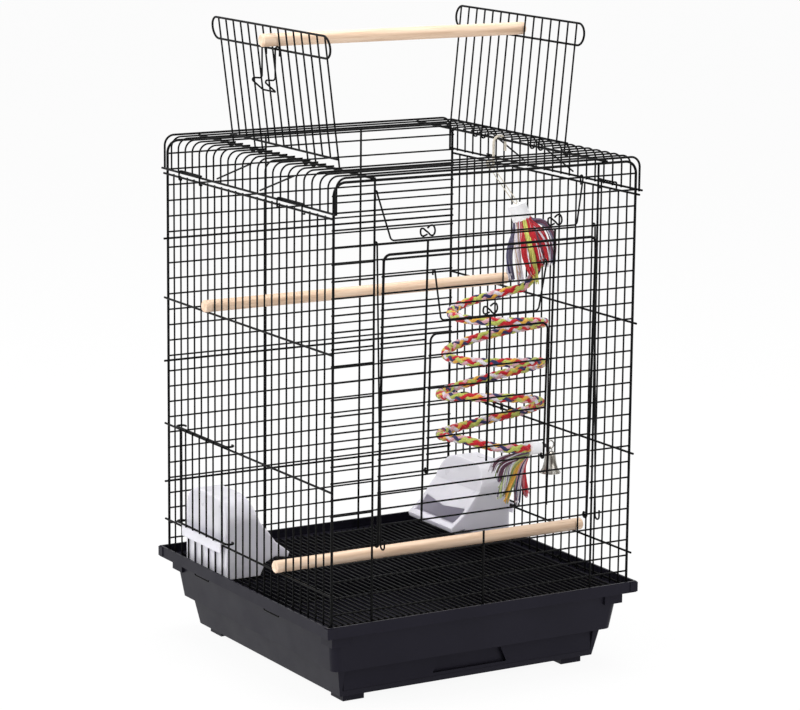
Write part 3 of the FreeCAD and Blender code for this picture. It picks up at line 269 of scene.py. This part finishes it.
YARNS = {"red": (0.50, 0.015, 0.025), "lime": (0.46, 0.50, 0.11), "white": (0.68, 0.64, 0.70),
         "navy": (0.03, 0.03, 0.10), "gold": (0.70, 0.38, 0.06), "pink": (0.66, 0.36, 0.41),
         "slate": (0.12, 0.11, 0.18), "plum": (0.12, 0.04, 0.07), "leaf": (0.24, 0.36, 0.13),
         "sand": (0.52, 0.38, 0.26), "lemon": (0.66, 0.66, 0.16), "sage": (0.50, 0.58, 0.28)}
YARN_MATERIALS = [yarn(name, colour) for name, colour in YARNS.items()]
YARN_INDEX = {name: i for i, name in enumerate(YARNS)}

# Rope toy: its own places are in millimetres right of the coil's axis, near the viewer and at a level

TOY = Vector((0.110, -0.038, 0.101))
SPIN = Quaternion((0, 0, 1), math.radians(-30.94))
ROPE, LEAD_RUN, ROPE_STEP = 11 * MM, 13 * MM, 1.25 * MM
WRAP_RIGHT, WRAP_NEAR, WRAP_LEVEL = 32.3, -58, 394.4
WRAP_TILT = math.radians(19.5)
LEAD = [(WRAP_RIGHT, WRAP_NEAR, WRAP_LEVEL), (36.6, -58, 382.1), (39.8, -58, 373.2), (49.9, -43.5, 366.4),
        (51, -43, 357), (52.8, -42.3, 342.2), (37.5, -47, 316.1)]

# The coil: its turns in degrees, then its place, size, fall and slant, with growth and drift for each turn
FIRST, LAST, STEP = 71, 1387, 22.5
COIL_RIGHT, COIL_LEVEL = 6, 324.2
COIL_RADIUS, COIL_GROWTH, COIL_DRIFT = 54.5, 2.2, -3.6
COIL_FALL, COIL_SLANT = 48, 0.123
# The near side stands higher, more so from the turn BOW_FROM on, and the last turn is pulled to the right.
# Both fade out over the last END_EASE degrees.
COIL_NOD, COIL_BOW, COIL_PULL = 0.1, 0.13, 6.6
BOW_FROM, BOW_OVER = 1.7, 0.9
PULL_FROM, PULL_OVER = 3, 0.4
END_EASE = 90


def at(right, near, level):
    """A point of the toy in the cage's frame."""
    return TOY + SPIN @ Vector((right * MM, -near * MM, 0)) + Vector((0, 0, level * MM))


def grown(turns, start, over):
    """From 0 to 1 over a stretch of turns."""
    return min(1, max(0, (turns - start) / over))


def coil_point(degrees):
    """A point of the coil, which widens, drifts to the left and nods as it goes down."""
    turns = degrees / 360
    ease = min(1, (LAST - degrees) / END_EASE)
    loose = ease ** 2 * (3 - 2 * ease)
    nod = (COIL_NOD + COIL_BOW * grown(turns, BOW_FROM, BOW_OVER)) * loose
    pull = COIL_PULL * grown(turns, PULL_FROM, PULL_OVER) * loose
    radius = COIL_RADIUS + COIL_GROWTH * turns
    right = radius * math.cos(math.radians(degrees))
    near = -radius * math.sin(math.radians(degrees))
    level = COIL_LEVEL - COIL_FALL * turns + COIL_SLANT * right + nod * near
    return at(right + COIL_RIGHT + COIL_DRIFT * turns + pull, near, level)


def rope_route():
    """The points from the upper wrap, round the coil and straight on into the end wrap."""
    points = [at(*spot) for spot in LEAD]
    count = round((LAST - FIRST) / STEP)
    points += [coil_point(FIRST + (LAST - FIRST) * i / count) for i in range(count + 1)]
    heading = (coil_point(LAST + 1) - coil_point(LAST - 1)).normalized()
    return points + [points[-1] + heading * LEAD_RUN]


def evenly(line, step):
    """Points at even steps along a line of points."""
    total = sum((b - a).length for a, b in zip(line, line[1:]))
    count = max(2, round(total / step))
    marks, walked, made = iter(range(1, count)), 0.0, [line[0]]
    target = total * next(marks) / count
    for a, b in zip(line, line[1:]):
        length = (b - a).length
        while target is not None and walked + length >= target:
            made.append(a.lerp(b, (target - walked) / length))
            mark = next(marks, None)
            target = None if mark is None else total * mark / count
        walked += length
    return made + [line[-1]]


def smooth_line(points, step):
    """Even points along the NURBS spline that has these control points."""
    curve = bpy.data.curves.new("route", "CURVE")
    curve.dimensions = "3D"
    spline = curve.splines.new("NURBS")
    spline.points.add(len(points) - 1)
    for slot, point in zip(spline.points, points):
        slot.co = (*point, 1)
    spline.order_u = 3
    spline.use_endpoint_u = True
    spline.resolution_u = 12
    guide = bpy.data.objects.new("route", curve)
    scene.collection.objects.link(guide)
    bpy.context.view_layer.update()
    mesh = bpy.data.meshes.new_from_object(guide.evaluated_get(bpy.context.evaluated_depsgraph_get()))
    line = [vertex.co.copy() for vertex in mesh.vertices]
    bpy.data.meshes.remove(mesh)
    bpy.data.objects.remove(guide)
    bpy.data.curves.remove(curve)
    return evenly(line, step)


def frames(line):
    """Heading, side and upper direction at each point, without twist."""
    before, after = [line[0], *line[:-1]], [*line[1:], line[-1]]
    headings = [(b - a).normalized() for a, b in zip(before, after)]
    side = headings[0].orthogonal().normalized()
    made = []
    for heading in headings:
        side = (side - heading * side.dot(heading)).normalized()
        made.append((heading, side, heading.cross(side)))
    return made


def oval(wide, thick):
    """A section: the reach to the side and upwards at an angle."""
    return lambda angle: (wide * math.cos(angle), thick * math.sin(angle))


class Tubes:
    """A mesh of many closed tubes, each with its own material index."""

    def __init__(self):
        self.points, self.faces, self.marks = [], [], []

    def add(self, line, directions, section, sides, mark):
        """A tube along a line, with the section's outline at each point."""
        first = len(self.points)
        for point, (_, side, upper) in zip(line, directions):
            for k in range(sides):
                u, v = section(2 * math.pi * k / sides)
                self.points.append(point + side * u + upper * v)
        for i in range(len(line) - 1):
            for k in range(sides):
                a, b = first + i * sides + k, first + i * sides + (k + 1) % sides
                self.faces.append((a, b, b + sides, a + sides))
        last = first + (len(line) - 1) * sides
        self.faces.append(tuple(range(first + sides - 1, first - 1, -1)))
        self.faces.append(tuple(range(last, last + sides)))
        self.marks += [mark] * ((len(line) - 1) * sides + 2)

    def build(self, name, materials):
        mesh = bpy.data.meshes.new(name)
        mesh.from_pydata(self.points, [], self.faces)
        for material in materials:
            mesh.materials.append(material)
        mesh.polygons.foreach_set("material_index", self.marks)
        mesh.polygons.foreach_set("use_smooth", [True] * len(self.marks))
        mesh.update()
        piece = bpy.data.objects.new(name, mesh)
        scene.collection.objects.link(piece)
        return piece


# Each strand of the plait: its colour and the way it winds
PLAIT = [("red", 1), ("lime", 1), ("navy", 1), ("white", 1),
         ("red", -1), ("gold", -1), ("pink", -1), ("lime", -1)]
EACH_WAY = 4
PITCH, WEAVE, CORE = 56 * MM, 0.55 * MM, 3.35 * MM
STRAND_WIDE, STRAND_THICK, STRAND_SIDES = 2.4 * MM, 1.6 * MM, 8


def make_rope(line):
    """A plait of eight strands, four each way, that pass over and under each other."""
    directions = frames(line)
    step = (line[1] - line[0]).length
    tubes = Tubes()
    for k, (colour, way) in enumerate(PLAIT):
        strand = []
        rings = []
        for i, (point, (heading, side, upper)) in enumerate(zip(line, directions)):
            along = 2 * math.pi * i * step / PITCH
            angle = way * along + (k % EACH_WAY) * 2 * math.pi / EACH_WAY
            out = side * math.cos(angle) + upper * math.sin(angle)
            strand.append(point + out * (CORE + way * WEAVE * math.cos(EACH_WAY * along)))
            rings.append((heading, heading.cross(out), out))
        tubes.add(strand, rings, oval(STRAND_WIDE, STRAND_THICK), STRAND_SIDES, YARN_INDEX[colour])
    return tubes.build("rope", YARN_MATERIALS)


line = smooth_line(rope_route(), ROPE_STEP)
rope = make_rope(line)
length = sum((b - a).length for a, b in zip(line, line[1:]))
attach(rope, "rope_toy")
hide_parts("rope_coil")

# Frayed ends: locks of yarn in the space of the solid bundles

# Each upper lock: its place round the wrap in degrees, its colours, then points right, near and below it
TOP_LOCKS = [(175, ("slate", "slate", "navy", "white"), (20, -50, 29), (17, -44, 49), (21, -40, 71)),
             (140, ("sand", "white", "pink", "white"), (26, -42, 22), (28, -34, 46), (31, -31, 71)),
             (108, ("red", "red", "white", "red"), (33, -36, 24), (36, -26, 43), (46, -22, 62)),
             (75, ("lime", "lemon", "lemon"), (40, -37, 21), (45, -33, 40), (49, -31, 72)),
             (58, ("red", "white", "red"), (45, -38, 20), (52, -34, 36), (57, -33, 50)),
             (42, ("red", "plum", "white", "red"), (48, -38, 18), (55, -35, 31), (62, -38, 44)),
             (25, ("plum", "red", "white", "red"), (53, -44, 9), (60, -38, 23), (62, -34, 40), (61, -32, 54)),
             (8, ("slate", "plum", "white"), (57, -50, 0), (66, -40, 11), (69, -31, 28), (68, -28, 49))]
# Each lower lock: its colours, then points right, near and at a level
END_LOCKS = [(("slate", "plum", "white"), (28, 50, 136), (10, 56, 133), (-1, 57, 128), (-2.7, 56, 117)),
             (("slate", "leaf", "plum", "white"), (31, 49, 135), (14, 55, 130), (7, 54, 120), (6.7, 53, 106)),
             (("sage", "slate", "sage", "white"), (33, 47, 134), (20, 52, 127), (14, 51, 108), (6.4, 52, 84)),
             (("gold", "sage", "leaf", "sage"), (35, 46, 134), (25, 50, 125), (22, 48, 110), (14.8, 50, 79)),
             (("pink", "navy", "white"), (38, 44, 135), (31, 46, 124), (28, 46, 104), (29, 46, 77)),
             (("red", "pink", "red"), (39, 42, 135), (34, 43, 121), (35, 43, 103), (40, 42, 85))]
LOCK_RING, LOCK_ROOT, LOCK_EXIT, END_DROP = 8.6 * MM, 1 * MM, 5 * MM, 7 * MM
LOCK_YARNS, LOCK_RADIUS, LOCK_STEP = 24, 2.8 * MM, 2.5 * MM
LOCK_NECK, LOCK_BELLY, FLARE_POWER = 0.75, 0.45, 4
YARN_TURN, YARN_WAVES, YARN_SIDES, YARN_POINTS = 2.4, 11, 6, 4
# Ranges of the random draws: twist and phase in radians, wave and radius in millimetres, the rest as shares
TWIST, REACH, FLARE, LENGTH_SHARE = (2.2, 4.2), (0.85, 1.15), (0.1, 1.3), (0.82, 1.0)
WAVE, PHASE, YARN_RADIUS = (0.2, 0.8), (0, 6.28), (0.6, 0.95)


def lock(tubes, points, colours):
    """A twisted lock of yarns along a line, loose at its tip."""
    axis = smooth_line(points, LOCK_STEP)
    directions = frames(axis)
    twist = rng.uniform(*TWIST) * rng.choice((-1, 1))
    for k in range(LOCK_YARNS):
        reach = LOCK_RADIUS * math.sqrt((k + 0.5) / LOCK_YARNS) * rng.uniform(*REACH)
        flare = rng.uniform(*FLARE)
        wave = rng.uniform(*WAVE) * MM
        phase = rng.uniform(*PHASE)
        count = max(YARN_POINTS, round(len(axis) * rng.uniform(*LENGTH_SHARE)))
        path = []
        for i in range(count):
            t = i / (len(axis) - 1)
            _, side, upper = directions[i]
            out = reach * (LOCK_NECK + LOCK_BELLY * math.sin(math.pi * t) + flare * t ** FLARE_POWER)
            angle = YARN_TURN * k + twist * t
            sway = wave * t * math.sin(YARN_WAVES * t + phase)
            path.append(axis[i] + side * (out * math.cos(angle) + sway) + upper * (out * math.sin(angle)))
        radius = rng.uniform(*YARN_RADIUS) * MM
        tubes.add(path, frames(path), oval(radius, radius), YARN_SIDES, YARN_INDEX[rng.choice(colours)])


def make_top_tassel():
    """Locks that come out round the foot of the upper wrap."""
    foot = at(WRAP_RIGHT, WRAP_NEAR, WRAP_LEVEL)
    down = SPIN @ Vector((math.sin(WRAP_TILT), 0, -math.cos(WRAP_TILT)))
    across = SPIN @ Vector((math.cos(WRAP_TILT), 0, math.sin(WRAP_TILT)))
    nearer = SPIN @ Vector((0, -1, 0))
    tubes = Tubes()
    for degrees, colours, *points in TOP_LOCKS:
        turn = math.radians(degrees)
        start = foot + (across * math.cos(turn) + nearer * math.sin(turn)) * LOCK_RING
        hang = [at(right, near, WRAP_LEVEL - fall) for right, near, fall in points]
        lock(tubes, [start - down * LOCK_ROOT, start + down * LOCK_EXIT, *hang], colours)
    return tubes.build("top_fray", YARN_MATERIALS)


def make_end_tassel():
    """Locks that spread from one root below the rope's end."""
    root = line[-1] - Vector((0, 0, END_DROP))
    tubes = Tubes()
    for colours, *points in END_LOCKS:
        lock(tubes, [root, *[at(*point) for point in points]], colours)
    return tubes.build("end_fray", YARN_MATERIALS)


top_tassel = make_top_tassel()
end_tassel = make_end_tassel()
for piece, node in ((top_tassel, "top_tassel"), (end_tassel, "end_tassel")):
    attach(piece, "rope_toy")
    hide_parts(node)

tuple(line[0])

# Floor, background and light

FLOOR_HALF, FLOOR_GLOW = 12, 0.93
AMBIENT = 0.62
SEEING_RAYS = ("Is Camera Ray", "Is Glossy Ray", "Is Transmission Ray")
MIDDLE = Vector((0, 0, 0.35))
# Each lamp: its place, power and width
LAMPS = {"key": ((-2.6, -0.3, 1.9), 50, 1.6), "fill": ((1.2, -2.6, 1.5), 20, 1.8),
         "top": ((0.2, 0.3, 2.6), 46, 1.6)}


def any_ray(tree):
    """1 for the kinds of ray that see the background."""
    light_path = tree.nodes.new("ShaderNodeLightPath")
    total = light_path.outputs[SEEING_RAYS[0]]
    for name in SEEING_RAYS[1:]:
        both = tree.nodes.new("ShaderNodeMath")
        both.operation = "MAXIMUM"
        tree.links.new(total, both.inputs[0])
        tree.links.new(light_path.outputs[name], both.inputs[1])
        total = both.outputs["Value"]
    return total


def make_floor():
    """A pale floor that looks nearly white and still takes the shadow."""
    mesh = bpy.data.meshes.new("floor")
    corners = [(-FLOOR_HALF, -FLOOR_HALF, 0), (FLOOR_HALF, -FLOOR_HALF, 0),
               (FLOOR_HALF, FLOOR_HALF, 0), (-FLOOR_HALF, FLOOR_HALF, 0)]
    mesh.from_pydata(corners, [], [(0, 1, 2, 3)])
    floor = bpy.data.objects.new("floor", mesh)
    scene.collection.objects.link(floor)
    made = Finish("floor", 0.9)
    made.colour(made.ramp(made.noise(3), (0.3, (0.86, 0.86, 0.86)), (0.7, (0.88, 0.88, 0.88))))
    share = made.node("ShaderNodeMath", operation="MULTIPLY")
    share.inputs[1].default_value = FLOOR_GLOW
    made.link(any_ray(made.tree), share.inputs[0])
    glow = made.node("ShaderNodeEmission")
    glow.inputs["Strength"].default_value = 1.0
    blend = made.node("ShaderNodeMixShader")
    made.link(share.outputs["Value"], blend.inputs["Fac"])
    made.link(made.shader.outputs["BSDF"], blend.inputs[1])
    made.link(glow.outputs["Emission"], blend.inputs[2])
    made.link(blend.outputs["Shader"], made.tree.nodes["Material Output"].inputs["Surface"])
    mesh.materials.append(made.material)


def make_world():
    """White where it is seen, and a plain level of light elsewhere."""
    world = bpy.data.worlds.new("world")
    world.use_nodes = True
    scene.world = world
    tree = world.node_tree
    plain = tree.nodes["Background"]
    white = tree.nodes.new("ShaderNodeBackground")
    for background, strength in ((plain, AMBIENT), (white, 1.0)):
        background.inputs["Color"].default_value = (1, 1, 1, 1)
        background.inputs["Strength"].default_value = strength
    blend = tree.nodes.new("ShaderNodeMixShader")
    tree.links.new(any_ray(tree), blend.inputs["Fac"])
    tree.links.new(plain.outputs["Background"], blend.inputs[1])
    tree.links.new(white.outputs["Background"], blend.inputs[2])
    tree.links.new(blend.outputs["Shader"], tree.nodes["World Output"].inputs["Surface"])


def make_lamp(name, place, power, width):
    data = bpy.data.lights.new(name, "AREA")
    data.energy, data.size = power, width
    made = bpy.data.objects.new(name, data)
    scene.collection.objects.link(made)
    made.location = place
    made.rotation_euler = (MIDDLE - Vector(place)).to_track_quat("-Z", "Y").to_euler()


make_floor()
make_world()
for name, (place, power, width) in LAMPS.items():
    make_lamp(name, place, power, width)
